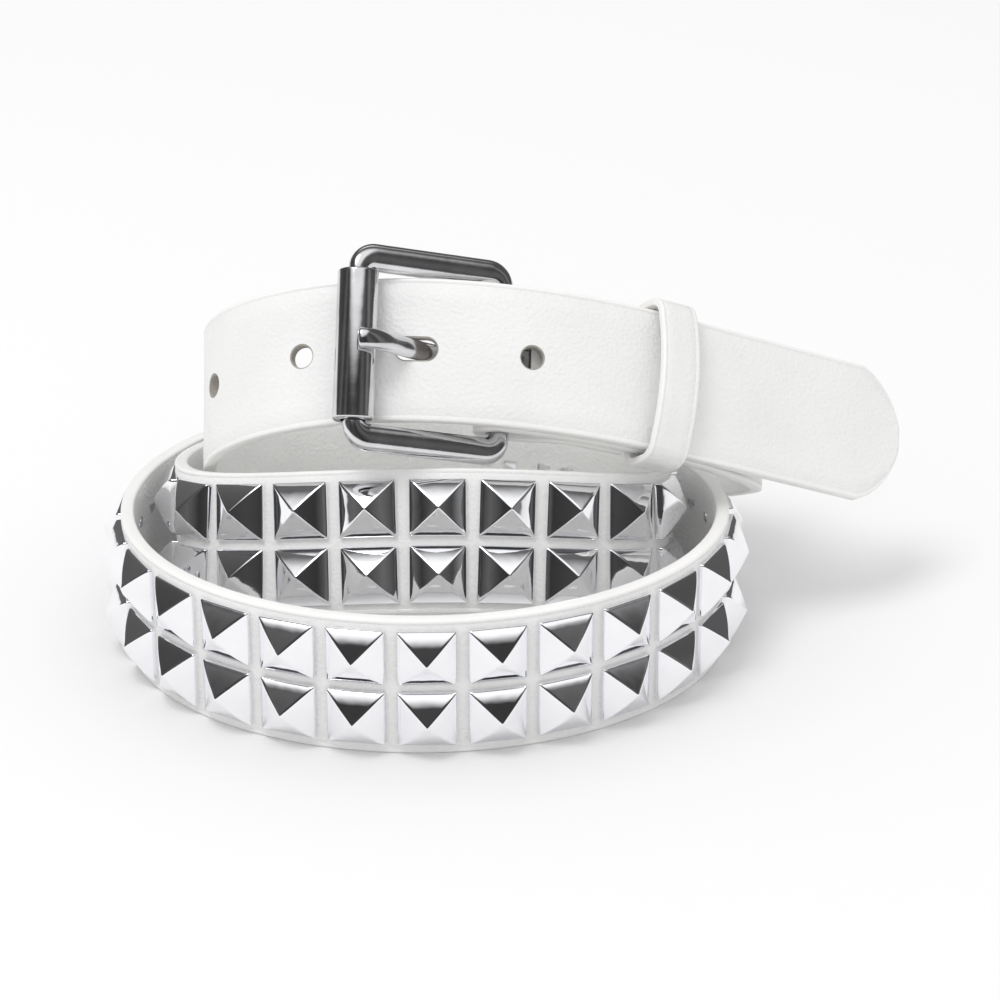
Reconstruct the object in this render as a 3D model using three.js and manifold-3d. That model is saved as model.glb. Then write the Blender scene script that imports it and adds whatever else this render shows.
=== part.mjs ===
// A leather belt with two rows of pyramid studs, buckled and lying in a three-turn coil.
// Millimetres, +Z up. The front is -Y. The coil is worked out about its own middle on the floor,
// and the whole belt is then moved so that the origin is under the middle of its bounding box.
import * as THREE from 'three';
import { mergeVertices } from 'three/addons/utils/BufferGeometryUtils.js';
import Module from 'manifold-3d';

const wasm = await Module();
wasm.setup();

// Driving dimensions of the strap
const strapWidth = 32;
const strapThickness = 3;
const clearance = 0.3;
const plyGap = 0.8;
const tipLength = 63;
const tipPoint = 11;
const tipFlat = 3;
const tipRoundness = 0.75;

// Driving dimensions of the coil
const coilHalfWidth = 68.2;
const coilHalfDepth = 58.5;
const stationStep = 7.2;

// Driving dimensions of the studs
const studSide = 12.7;
const studHeight = 5;
const studBase = 0.9;
const studSink = 0.9;
const studPitch = 14.92;
const studRowPitch = 14.6;
const studColumns = 52;
const studStart = 86.3;

// Driving dimensions of the holes
const holeDiameter = 5;
const holePitch = 25.4;
const holeSides = 12;
const prongHoleLength = 9.4;
const holeCountInside = 3;
const holeCountOutside = 1;

// Driving dimensions of the buckle
const barThickness = 4.4;
const barBevel = 1.1;
const sideBarWidth = 6.2;
const frameCorner = 6;
const frameInnerCorner = 0.4;
const frameSideRoom = 1;
const buckleReach = 35.4;
const rollerDiameter = 9.1;
const rollerBore = 5.6;
const rollerEdge = 0.6;
const prongWidth = 4.2;
const prongThickness = 2.4;

// Driving dimensions of the folded end and the keeper
const flapLength = 30;
const rivetSetback = 20;
const rivetHeadDiameter = 7;
const rivetHeadThickness = 0.9;
const rivetPocket = 1.3;
const rivetPlay = 0.6;
const rivetShankDiameter = 3;
const keeperTurn = -44;
const keeperWidth = 9.5;
const keeperThickness = 1.8;
const keeperRoom = 1.3;
const keeperSlack = 1.4;
const keeperCorner = 1.2;
const keeperBow = 2.6;
const keeperStep = 4;
const keeperCornerSteps = 4;

const leather = new THREE.MeshStandardMaterial({ color: 0xf4f4f0, roughness: 0.55, metalness: 0 });
const steel = new THREE.MeshStandardMaterial({ color: 0xb9bcc2, roughness: 0.2, metalness: 1 });

// The coil by quarter turns, clockwise from the front seen from above, starting under the buckle.
// across and deep are the half axes and centre the shift, as shares of the coil's half width and
// half depth. rise is the height of the strap's lower edge in strap widths, and tilt the backward
// lean of the turn in degrees. The rows close on themselves after three turns.
const coilTable = [
  { place: 'front under buckle', across: 1.0, centre: 0.3, deep: 0.46, rise: 1.78, tilt: 35 },
  { place: 'left inner', across: 0.685, centre: 0.25, deep: 0.43, rise: 1.0, tilt: 33 },
  { place: 'rear inner', across: 0.73, centre: 0.14, deep: 0.475, rise: 0.1, tilt: 4 },
  { place: 'right inner', across: 0.78, centre: 0.02, deep: 0.5, rise: 0.21, tilt: 20 },
  { place: 'front middle', across: 0.82, centre: 0.03, deep: 0.53, rise: 0.61, tilt: 25 },
  { place: 'left middle', across: 0.83, centre: 0.02, deep: 0.6, rise: 0.22, tilt: 20 },
  { place: 'rear middle', across: 0.89, centre: -0.02, deep: 0.82, rise: 0, tilt: 0 },
  { place: 'right outer', across: 0.97, centre: -0.06, deep: 0.93, rise: 0, tilt: 0 },
  { place: 'front outer', across: 1, centre: -0.07, deep: 1, rise: 0, tilt: 0 },
  { place: 'left outer', across: 1, centre: -0.07, deep: 1, rise: 0, tilt: 0 },
  { place: 'rear outer', across: 1.03, centre: -0.02, deep: 1.01, rise: 0, tilt: 0 },
  { place: 'right raised', across: 1.1, centre: 0.36, deep: 0.61, rise: 0.85, tilt: 36 },
];
const quarter = 360 / 4;
const coilDegrees = coilTable.length * quarter;
const hingeTurn = coilDegrees - 14;
const tipTurn = -45;
const layerEnd = 180;
const squaringTurn = 26;

// Smooth value of one column of the coil table at an angle, through the four nearest rows
function coilValue(column, degrees) {
  const place = degrees / quarter;
  const row = Math.floor(place);
  const t = place - row;
  const count = coilTable.length;
  const [a, b, c, d] = [-1, 0, 1, 2].map((step) => coilTable[(row + step + 2 * count) % count][column]);
  const slopeB = (c - a) / 2;
  const slopeC = (d - b) / 2;
  const t2 = t * t;
  const t3 = t2 * t;
  return (2 * t3 - 3 * t2 + 1) * b + (t3 - 2 * t2 + t) * slopeB
    + (3 * t2 - 2 * t3) * c + (t3 - t2) * slopeC;
}

// Middle of the strap on the inner of the two layers at an angle of the coil
function coilPoint(degrees) {
  const angle = THREE.MathUtils.degToRad(degrees);
  const tilt = THREE.MathUtils.degToRad(Math.max(0, coilValue('tilt', degrees)));
  const rise = Math.max(0, coilValue('rise', degrees)) * strapWidth;
  return new THREE.Vector3(
    -coilValue('across', degrees) * coilHalfWidth * Math.sin(angle),
    (coilValue('centre', degrees) - coilValue('deep', degrees) * Math.cos(angle)) * coilHalfDepth,
    rise + strapWidth / 2 * Math.cos(tilt),
  );
}

// Frame on the coil: along runs from the tip to the buckle, wide from lower to upper edge, out away
// from the coil's middle
function coilFrame(degrees, layers) {
  const step = 0.5;
  const along = coilPoint(degrees + step).sub(coilPoint(degrees - step)).normalize();
  const tilt = THREE.MathUtils.degToRad(Math.max(0, coilValue('tilt', degrees)));
  const wide = new THREE.Vector3(0, Math.sin(tilt), Math.cos(tilt));
  wide.addScaledVector(along, -wide.dot(along)).normalize();
  const out = wide.clone().cross(along);
  const point = coilPoint(degrees).addScaledVector(out, layers * (strapThickness + plyGap));
  return { point, along, wide, out };
}

function moved(frame, alongBy, outBy) {
  const point = frame.point.clone().addScaledVector(frame.along, alongBy).addScaledVector(frame.out, outBy);
  return { ...frame, point };
}

// The strap's middle line from the tip to the end of the flap, as a fine list of frames
const barRadius = barThickness / 2;
const barCorner = Math.hypot(barRadius, barRadius - barBevel);
const foldRadius = barCorner + clearance + strapThickness / 2;

function layerShare(degrees) {
  const share = THREE.MathUtils.clamp(degrees / layerEnd, 0, 1);
  return 1 - THREE.MathUtils.smoothstep(share, 0, 1);
}

// Angle reached after a distance along the coil
function turnAfter(degrees, distance, layers) {
  let turn = degrees;
  let walked = 0;
  const step = 0.25;
  while (walked < distance) {
    walked += coilFrame(turn, layers).point.distanceTo(coilFrame(turn + step, layers).point);
    turn += step;
  }
  return turn;
}

// Where the buckle holds the tip: over the hinge bar, half way, and under the roller
const layerPitch = strapThickness + plyGap;
const rollerRadius = rollerDiameter / 2;
const rollerOut = strapThickness / 2 + clearance + rollerRadius;
const buckleRise = foldRadius + layerPitch + rollerOut;
const alongReach = Math.sqrt(buckleReach ** 2 - buckleRise ** 2);
const tipHingeTurn = hingeTurn - coilDegrees;
const tipMiddle = coilFrame(turnAfter(tipHingeTurn, alongReach / 2, 1), 1);
const tipAtRoller = coilFrame(turnAfter(tipHingeTurn, alongReach, 1), 1);

// The folded end squares itself to the hinge bar, which runs across the tip's middle
function hingeSquared(frame, share) {
  const wide = frame.wide.clone().lerp(tipMiddle.wide, share).normalize();
  const along = frame.along.clone().addScaledVector(wide, -frame.along.dot(wide)).normalize();
  return { point: frame.point, along, wide, out: wide.clone().cross(along) };
}

const hingeFrame = hingeSquared(coilFrame(hingeTurn, 0), 1);
const hingePoint = hingeFrame.point.clone().addScaledVector(hingeFrame.out, -foldRadius);

// Steps round the fold, and the length over which the flap closes up to the strap
const foldSteps = 12;
const flapNarrowing = 12;

function strapRoute() {
  const route = [];
  const tipFrame = coilFrame(tipTurn, 1);
  for (let distance = tipLength; distance > 0; distance -= 1) {
    route.push(moved(tipFrame, -distance, 0));
  }
  for (let degrees = tipTurn; degrees < hingeTurn; degrees += 1) {
    const share = THREE.MathUtils.smoothstep(degrees, hingeTurn - squaringTurn, hingeTurn);
    route.push(hingeSquared(coilFrame(degrees, layerShare(degrees)), share));
  }
  const hinge = hingeFrame;
  for (let i = 0; i <= foldSteps; i++) {
    const turn = Math.PI * i / foldSteps;
    const point = hinge.point.clone()
      .addScaledVector(hinge.out, foldRadius * (Math.cos(turn) - 1))
      .addScaledVector(hinge.along, foldRadius * Math.sin(turn));
    const along = hinge.along.clone().multiplyScalar(Math.cos(turn))
      .addScaledVector(hinge.out, -Math.sin(turn));
    route.push({ point, along, wide: hinge.wide, out: hinge.wide.clone().cross(along) });
  }
  const degreesPerMm = 180 / Math.PI / coilHalfWidth;
  for (let distance = 1; distance <= flapLength; distance += 1) {
    const turn = hingeTurn - distance * degreesPerMm;
    const share = THREE.MathUtils.smoothstep(turn, hingeTurn - squaringTurn, hingeTurn);
    const main = hingeSquared(coilFrame(turn, 0), share);
    const close = THREE.MathUtils.smoothstep(distance, foldRadius, foldRadius + flapNarrowing);
    const offset = THREE.MathUtils.lerp(2 * foldRadius, strapThickness + plyGap, close);
    const frame = moved(main, 0, -offset);
    route.push({ ...frame, along: main.along.clone().negate(), out: main.out.clone().negate() });
  }
  return route;
}

const route = strapRoute();
const lengths = [0];
for (let i = 1; i < route.length; i++) {
  lengths.push(lengths[i - 1] + route[i].point.distanceTo(route[i - 1].point));
}
const strapLength = lengths[lengths.length - 1];

// Frame at a distance from the tip, measured along the strap
function frameAt(distance) {
  let i = 1;
  while (i < route.length - 1 && lengths[i] < distance) i += 1;
  const t = (distance - lengths[i - 1]) / (lengths[i] - lengths[i - 1]);
  const [before, after] = [route[i - 1], route[i]];
  const along = before.along.clone().lerp(after.along, t).normalize();
  const wide = before.wide.clone().lerp(after.wide, t);
  wide.addScaledVector(along, -wide.dot(along)).normalize();
  return {
    point: before.point.clone().lerp(after.point, t), along, wide, out: wide.clone().cross(along),
  };
}

const flapAndFold = Math.PI * foldRadius + flapLength;
const hingeDistance = strapLength - flapAndFold;

// Closed body through rings of points, each ring running from the lower to the upper outer edge
function loft(rings) {
  const sides = rings[0].length;
  const positions = rings.flat().flatMap((point) => point.toArray());
  const index = [];
  for (let i = 0; i + 1 < rings.length; i++) {
    for (let j = 0; j < sides; j++) {
      const [a, b] = [i * sides + j, i * sides + (j + 1) % sides];
      index.push(a, b, b + sides, a, b + sides, a + sides);
    }
  }
  const last = (rings.length - 1) * sides;
  for (let j = 1; j + 1 < sides; j++) {
    index.push(0, j + 1, j, last, last + j, last + j + 1);
  }
  const geometry = new THREE.BufferGeometry();
  geometry.setAttribute('position', new THREE.Float32BufferAttribute(positions, 3));
  geometry.setIndex(index);
  return geometry;
}

function bandRing(frame, halfWidth, halfThickness) {
  const corners = [[-1, 1], [1, 1], [1, -1], [-1, -1]];
  return corners.map(([w, t]) => frame.point.clone()
    .addScaledVector(frame.wide, w * halfWidth)
    .addScaledVector(frame.out, t * halfThickness));
}

// Solids for joining and cutting
function toSolid(geometry, matrix) {
  const bare = geometry.clone();
  bare.deleteAttribute('normal');
  bare.deleteAttribute('uv');
  if (matrix) bare.applyMatrix4(matrix);
  const merged = mergeVertices(bare, 1e-4);
  return new wasm.Manifold(new wasm.Mesh({
    numProp: 3,
    vertProperties: new Float32Array(merged.attributes.position.array),
    triVerts: new Uint32Array(merged.index.array),
  }));
}

function toGeometry(solid) {
  const mesh = solid.getMesh();
  const geometry = new THREE.BufferGeometry();
  geometry.setAttribute('position', new THREE.BufferAttribute(mesh.vertProperties, 3));
  geometry.setIndex(new THREE.BufferAttribute(mesh.triVerts, 1));
  return geometry;
}

// Matrix that takes X to along, Y to out and Z to wide at a frame
function frameMatrix({ point, along, wide, out }) {
  return new THREE.Matrix4().makeBasis(along, out, wide).setPosition(point);
}

// Half width of the strap near its blunt point, between a round and a straight-sided end
function halfWidthAt(distance) {
  const share = Math.min(1, distance / tipPoint);
  const round = Math.sqrt(1 - (1 - share) ** 2);
  const full = strapWidth / 2 * THREE.MathUtils.lerp(share, round, tipRoundness);
  return Math.max(tipFlat / 2, full);
}

const tipShares = [0, 0.06, 0.2, 0.42, 0.7, 1];
const foldCount = 8;
const flapCount = 6;

function strapBody() {
  const tipStations = tipShares.map((share) => share * tipPoint);
  const middleEnd = strapLength - flapAndFold;
  const count = Math.ceil((middleEnd - tipPoint) / stationStep);
  const middle = Array.from({ length: count }, (_, i) => tipPoint + (middleEnd - tipPoint) * (i + 1) / count);
  const foldLength = Math.PI * foldRadius;
  const fold = Array.from({ length: foldCount }, (_, i) => middleEnd + foldLength * (i + 1) / foldCount);
  const flap = Array.from({ length: flapCount }, (_, i) => (
    middleEnd + foldLength + flapLength * (i + 1) / flapCount));
  const stations = [...tipStations, ...middle, ...fold, ...flap];
  const rings = stations.map((distance) => (
    bandRing(frameAt(distance), halfWidthAt(distance), strapThickness / 2)));
  return toSolid(loft(rings));
}

function studSolid(frame) {
  const radius = studSide / Math.SQRT2;
  const profile = [[0, -studSink], [radius, -studSink], [radius, studBase], [0, studHeight]];
  const points = profile.map(([x, y]) => new THREE.Vector2(x, y));
  const geometry = new THREE.LatheGeometry(points, 4, Math.PI / 4);
  return toSolid(geometry, frameMatrix(frame));
}

function atRow(frame, row) {
  const point = frame.point.clone()
    .addScaledVector(frame.wide, row * studRowPitch / 2)
    .addScaledVector(frame.out, strapThickness / 2);
  return { ...frame, point };
}

function studSolids() {
  const solids = [];
  for (let column = 0; column < studColumns; column++) {
    const frame = frameAt(hingeDistance - studStart - column * studPitch);
    for (const row of [-1, 1]) solids.push(studSolid(atRow(frame, row)));
  }
  return solids;
}

// Distance from the tip to the point of the upper layer at an angle
function tipDistanceAt(degrees) {
  const point = coilFrame(degrees, 1).point;
  let best = 0;
  for (let i = 0; lengths[i] < strapLength / 2; i++) {
    if (route[i].point.distanceTo(point) < route[best].point.distanceTo(point)) best = i;
  }
  return lengths[best];
}

// Buckle: its plane holds the hinge bar's axis, behind the tip, and the roller's axis, before it
const rollerPoint = tipAtRoller.point.clone().addScaledVector(tipAtRoller.out, rollerOut);
const frameAlong = rollerPoint.clone().sub(hingePoint);
const frameReach = frameAlong.length();
frameAlong.normalize();
const frameWide = tipMiddle.wide.clone()
  .addScaledVector(frameAlong, -tipMiddle.wide.dot(frameAlong)).normalize();
const frameOut = frameWide.clone().cross(frameAlong);

function roundedRectangle(shape, left, right, half, corner) {
  shape.moveTo(left + corner, -half);
  shape.lineTo(right - corner, -half);
  shape.absarc(right - corner, -half + corner, corner, -Math.PI / 2, 0, false);
  shape.lineTo(right, half - corner);
  shape.absarc(right - corner, half - corner, corner, 0, Math.PI / 2, false);
  shape.lineTo(left + corner, half);
  shape.absarc(left + corner, half - corner, corner, Math.PI / 2, Math.PI, false);
  shape.lineTo(left, -half + corner);
  shape.absarc(left + corner, -half + corner, corner, Math.PI, 1.5 * Math.PI, false);
  return shape;
}

// Basis of the buckle's plane: X towards the roller, Y along the bars, Z outwards
function buckleMatrix(point) {
  return new THREE.Matrix4().makeBasis(frameAlong, frameWide, frameOut.clone().negate())
    .setPosition(point);
}

function buckleFrameGeometry() {
  const insideHalf = strapWidth / 2 + frameSideRoom;
  const outline = roundedRectangle(
    new THREE.Shape(), -barRadius + barBevel, frameReach + barRadius - barBevel,
    insideHalf + sideBarWidth - barBevel, frameCorner);
  const inside = roundedRectangle(
    new THREE.Path(), barRadius - barBevel, frameReach - barRadius + barBevel,
    insideHalf + barBevel, barBevel + frameInnerCorner);
  outline.holes.push(inside);
  const geometry = new THREE.ExtrudeGeometry(outline, {
    depth: barThickness - 2 * barBevel, bevelEnabled: true, bevelSize: barBevel,
    bevelThickness: barBevel, bevelSegments: 1, curveSegments: 5,
  });
  geometry.translate(0, 0, -(barThickness / 2 - barBevel));
  return toGeometry(toSolid(geometry, buckleMatrix(hingePoint)));
}

function rollerGeometry() {
  const half = strapWidth / 2 + frameSideRoom - clearance;
  const profile = [
    [rollerBore / 2, -half], [rollerRadius - rollerEdge, -half], [rollerRadius, -half + rollerEdge],
    [rollerRadius, half - rollerEdge], [rollerRadius - rollerEdge, half], [rollerBore / 2, half], [rollerBore / 2, -half],
  ];
  const points = profile.map(([x, y]) => new THREE.Vector2(x, y));
  return toGeometry(toSolid(new THREE.LatheGeometry(points, 20), buckleMatrix(rollerPoint)));
}

// The prong's bent strip: coordinates along and out from the tip's middle between the two bars
const prongCurl = barCorner + clearance + prongThickness / 2;
const prongLift = rollerRadius + clearance + prongThickness / 2;
const curlDegrees = 270;
const curlSteps = 9;
const armSteps = 16;
const prongTip = 0.55;

function inStrap(point) {
  const offset = point.clone().sub(tipMiddle.point);
  return new THREE.Vector2(offset.dot(tipMiddle.along), offset.dot(tipMiddle.out));
}

// The arm's course: share of the way from the hinge bar to the roller, and share of the climb
const prongTable = [
  { way: 0, climb: 0 },
  { way: 0.26, climb: 0.01 },
  { way: 0.46, climb: 0.1 },
  { way: 0.655, climb: 0.47 },
  { way: 0.82, climb: 0.84 },
  { way: 0.92, climb: 0.98 },
  { way: 0.98, climb: 1 },
];

function prongCourse() {
  const hinge = inStrap(hingePoint);
  const roller = inStrap(rollerPoint);
  const curl = [];
  for (let i = 0; i < curlSteps; i++) {
    const angle = THREE.MathUtils.degToRad(curlDegrees * (1 - i / curlSteps));
    curl.push(new THREE.Vector2(
      hinge.x - prongCurl * Math.sin(angle), hinge.y + prongCurl * Math.cos(angle)));
  }
  const start = hinge.y + prongCurl;
  const climb = roller.y + prongLift - start;
  const arm = prongTable.map((row) => new THREE.Vector2(
    THREE.MathUtils.lerp(hinge.x, roller.x, row.way), start + climb * row.climb));
  return [...curl, ...new THREE.SplineCurve(arm).getPoints(armSteps)];
}

function prongGeometry() {
  const course = prongCourse();
  const rings = course.map((place, i) => {
    const before = course[Math.max(0, i - 1)];
    const after = course[Math.min(course.length - 1, i + 1)];
    const heading = after.clone().sub(before).normalize();
    const along = tipMiddle.along.clone().multiplyScalar(heading.x)
      .addScaledVector(tipMiddle.out, heading.y);
    const point = moved(tipMiddle, place.x, place.y).point;
    const frame = { point, along, wide: tipMiddle.wide, out: tipMiddle.wide.clone().cross(along) };
    const last = course.length - 1;
    const taper = i === last ? prongTip : 1;
    return bandRing(frame, taper * prongWidth / 2, taper * prongThickness / 2);
  });
  return toGeometry(toSolid(loft(rings)));
}

// Where the arm crosses the middle of the strap, measured along it from the tip's middle
function prongCrossing() {
  const course = prongCourse().slice(curlSteps);
  const i = course.findIndex((place) => place.y > 0);
  const [before, after] = [course[i - 1], course[i]];
  return THREE.MathUtils.lerp(before.x, after.x, -before.y / (after.y - before.y));
}

// Holes of the tip: an upright cylinder through the strap, the prong's own drawn out to a slot
const prongHole = tipDistanceAt(tipHingeTurn) + alongReach / 2 + prongCrossing();

function holeCutter(distance, stretch) {
  const frame = frameAt(distance);
  const radius = holeDiameter / 2;
  const deep = 4 * strapThickness;
  const cutter = new THREE.Shape();
  cutter.absarc(stretch / 2, 0, radius, -Math.PI / 2, Math.PI / 2, false);
  cutter.absarc(-stretch / 2, 0, radius, Math.PI / 2, 1.5 * Math.PI, false);
  const geometry = new THREE.ExtrudeGeometry(cutter, {
    depth: deep, bevelEnabled: false, curveSegments: holeSides / 2,
  });
  geometry.translate(0, 0, -deep / 2);
  const basis = new THREE.Matrix4().makeBasis(frame.along, frame.wide, frame.out.clone().negate())
    .setPosition(frame.point);
  return toSolid(geometry, basis);
}

function tipHoleCutters() {
  const cutters = [holeCutter(prongHole, prongHoleLength - holeDiameter)];
  for (let k = 1; k <= holeCountInside; k++) cutters.push(holeCutter(prongHole + k * holePitch, 0));
  for (let k = 1; k <= holeCountOutside; k++) cutters.push(holeCutter(prongHole - k * holePitch, 0));
  return cutters;
}

// Slot of the fold that the prong turns in, and the rivet's hole and pocket
function foldSlotCutter() {
  const outer = prongCurl + prongThickness / 2 + 2 * clearance;
  const top = foldRadius + strapThickness / 2 + plyGap / 3;
  const bottom = foldRadius + strapThickness;
  const front = foldRadius + strapThickness;
  const geometry = new THREE.BoxGeometry(outer + front, top + bottom, prongWidth + 3 * clearance);
  geometry.translate((front - outer) / 2, (top - bottom) / 2, 0);
  return toSolid(geometry, frameMatrix({ ...hingeFrame, point: hingePoint }));
}

const rivetFrame = frameAt(hingeDistance - rivetSetback);
const rivetSides = 16;

function latheSolid(profile, frame) {
  const points = profile.map(([x, y]) => new THREE.Vector2(x, y));
  return toSolid(new THREE.LatheGeometry(points, rivetSides), frameMatrix(frame));
}

function rivetCutter() {
  const hole = rivetShankDiameter / 2 + clearance;
  const head = rivetHeadDiameter / 2 + clearance;
  const face = strapThickness / 2;
  const far = face + plyGap / 3;
  const floor = face - rivetPocket;
  const bottom = -layerPitch - strapThickness;
  return latheSolid([[0, bottom], [hole, bottom], [hole, floor], [head, floor], [head, far], [0, far]], rivetFrame);
}

function rivetGeometry() {
  const shank = rivetShankDiameter / 2;
  const head = rivetHeadDiameter / 2;
  const upper = strapThickness / 2 - rivetPocket + clearance;
  const lower = -layerPitch - strapThickness / 2 - rivetPlay;
  return toGeometry(latheSolid([
    [0, lower - rivetHeadThickness], [head, lower - rivetHeadThickness], [head, lower], [shank, lower],
    [shank, upper], [head, upper], [head, upper + rivetHeadThickness], [0, upper + rivetHeadThickness],
  ], rivetFrame));
}

// Outline of the keeper's band at an offset outwards: its front bows away from the strap
function keeperOutline(halfThick, halfWide, offset) {
  const corners = roundedRectangle(
    new THREE.Path(), -halfThick - offset, halfThick + offset, halfWide + offset, keeperCorner + offset,
  ).getPoints(keeperCornerSteps);
  const points = [];
  corners.forEach((corner, i) => {
    const next = corners[(i + 1) % corners.length];
    const length = corner.distanceTo(next);
    if (length < clearance / 10) return;
    const parts = Math.ceil(length / keeperStep);
    for (let k = 0; k < parts; k++) points.push(corner.clone().lerp(next, k / parts));
  });
  return points.map(({ x, y }) => {
    const bow = x > 0 ? keeperBow * Math.max(0, 1 - (y / halfWide) ** 2) : 0;
    return new THREE.Vector2(x + bow, y);
  });
}

// Keeper: a leather band round the tip and the buckle end
function keeperGeometry() {
  const inner = coilFrame(keeperTurn, 0);
  const outer = frameAt(tipDistanceAt(keeperTurn));
  const spread = outer.point.clone().sub(inner.point).dot(outer.out);
  const halfThick = (spread + strapThickness + keeperSlack) / 2;
  const halfWide = strapWidth / 2 + keeperRoom;
  const along = inner.along.clone().add(outer.along).normalize();
  const wide = inner.wide.clone().add(outer.wide);
  wide.addScaledVector(along, -wide.dot(along)).normalize();
  const out = wide.clone().cross(along);
  const point = outer.point.clone().addScaledVector(out, -spread / 2);
  const band = new THREE.Shape(keeperOutline(halfThick, halfWide, keeperThickness));
  band.holes.push(new THREE.Path(keeperOutline(halfThick, halfWide, 0)));
  const geometry = new THREE.ExtrudeGeometry(band, { depth: keeperWidth, bevelEnabled: false });
  geometry.translate(0, 0, -keeperWidth / 2);
  const basis = new THREE.Matrix4().makeBasis(out, wide, out.clone().cross(wide)).setPosition(point);
  return toGeometry(toSolid(geometry, basis));
}

function strapGeometry() {
  let strap = strapBody();
  for (const cutter of [...tipHoleCutters(), foldSlotCutter(), rivetCutter()]) strap = strap.subtract(cutter);
  for (const stud of studSolids()) strap = strap.add(stud);
  return toGeometry(strap);
}

const group = new THREE.Group();
group.name = 'studded_belt';

function addPiece(name, geometry, material) {
  const mesh = new THREE.Mesh(geometry, material.clone());
  mesh.name = name;
  group.add(mesh);
}

addPiece('studded_strap', strapGeometry(), leather);
addPiece('keeper_loop', keeperGeometry(), leather);
addPiece('buckle_frame', buckleFrameGeometry(), steel);
addPiece('buckle_roller', rollerGeometry(), steel);
addPiece('buckle_prong', prongGeometry(), steel);
addPiece('fold_rivet', rivetGeometry(), steel);

// The origin is on the floor at the middle of the whole belt's footprint
const footprint = new THREE.Box3().setFromObject(group, true).getCenter(new THREE.Vector3());
for (const mesh of group.children) mesh.position.set(-footprint.x, -footprint.y, 0);

export default group;
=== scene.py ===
"""Looks of a white leather belt with two rows of pyramid studs and a roller buckle, lying in a coil."""
import math

import bmesh
import bpy
from mathutils import Matrix, Vector


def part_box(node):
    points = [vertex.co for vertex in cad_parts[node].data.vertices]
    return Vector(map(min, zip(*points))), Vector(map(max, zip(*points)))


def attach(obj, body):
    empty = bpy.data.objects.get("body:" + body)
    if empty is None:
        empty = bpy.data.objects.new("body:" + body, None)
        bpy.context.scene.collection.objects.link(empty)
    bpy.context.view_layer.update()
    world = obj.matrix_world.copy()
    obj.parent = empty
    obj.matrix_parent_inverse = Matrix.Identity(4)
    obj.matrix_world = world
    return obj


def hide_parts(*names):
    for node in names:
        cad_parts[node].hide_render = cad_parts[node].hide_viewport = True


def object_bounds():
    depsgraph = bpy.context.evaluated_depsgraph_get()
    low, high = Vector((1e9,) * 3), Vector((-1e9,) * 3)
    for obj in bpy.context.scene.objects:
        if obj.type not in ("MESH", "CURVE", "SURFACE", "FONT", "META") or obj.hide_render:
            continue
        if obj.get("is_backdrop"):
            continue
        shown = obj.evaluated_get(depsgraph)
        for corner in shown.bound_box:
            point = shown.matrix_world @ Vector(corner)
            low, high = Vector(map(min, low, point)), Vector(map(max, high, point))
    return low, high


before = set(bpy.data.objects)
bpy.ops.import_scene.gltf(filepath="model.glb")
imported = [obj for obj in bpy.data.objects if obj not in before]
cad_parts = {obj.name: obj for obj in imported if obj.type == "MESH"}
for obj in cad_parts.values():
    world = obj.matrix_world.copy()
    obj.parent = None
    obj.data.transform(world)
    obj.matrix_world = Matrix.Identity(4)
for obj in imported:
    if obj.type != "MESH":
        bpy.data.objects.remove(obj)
CAD_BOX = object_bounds()
METRES = 0.001

# Sizes of the strap, in millimetres as all the sizes below
STRAP_WIDTH = 32.0
STRAP_THICKNESS = 3.0
CLEARANCE = 0.3
PLY_GAP = 0.8
TIP_LENGTH = 63.0
TIP_POINT = 11.0
TIP_FLAT = 3.0
TIP_ROUNDNESS = 0.75

# Sizes of the coil
COIL_HALF_WIDTH = 68.2
COIL_HALF_DEPTH = 58.5
QUARTER = 90.0
TIP_TURN = -45.0
LAYER_END = 180.0
SQUARING_TURN = 26.0

# Sizes of the studs
STUD_PITCH = 14.92
STUD_ROW_PITCH = 14.6
STUD_COLUMNS = 52
STUD_START = 86.3

# Sizes of the holes
HOLE_DIAMETER = 5.0
HOLE_PITCH = 25.4
PRONG_HOLE_LENGTH = 9.4
HOLES_INSIDE = 3
HOLES_OUTSIDE = 1

# Sizes of the buckle, the folded end and the keeper
BAR_THICKNESS = 4.4
BAR_BEVEL = 1.1
SIDE_BAR_WIDTH = 6.2
FRAME_CORNER = 6.0
FRAME_SIDE_ROOM = 1.0
BUCKLE_REACH = 35.4
ROLLER_DIAMETER = 9.1
ROLLER_BORE = 5.6
PRONG_WIDTH = 4.5
PRONG_THICKNESS = 2.4
FLAP_LENGTH = 30.0
FLAP_NARROWING = 12.0
RIVET_SETBACK = 20.0
RIVET_HEAD_DIAMETER = 7.0
RIVET_HEAD_THICKNESS = 0.9
RIVET_POCKET = 1.3
RIVET_PLAY = 0.6
RIVET_SHANK_DIAMETER = 3.0
KEEPER_TURN = -44.0
KEEPER_WIDTH = 9.5
KEEPER_THICKNESS = 1.8
KEEPER_ROOM = 1.3
KEEPER_SLACK = 1.4
KEEPER_CORNER = 2.2
KEEPER_BOW = 3.2
KEEPER_EDGE_RADIUS = 0.45

# Round edges of the leather, and the pressed line beside both edges of its face
EDGE_RADIUS = 0.6
EDGE_STEPS = 3
FACE_STEPS = 8
FACE_CREASE = 0.14
CREASE_INSET = 0.28

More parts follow.
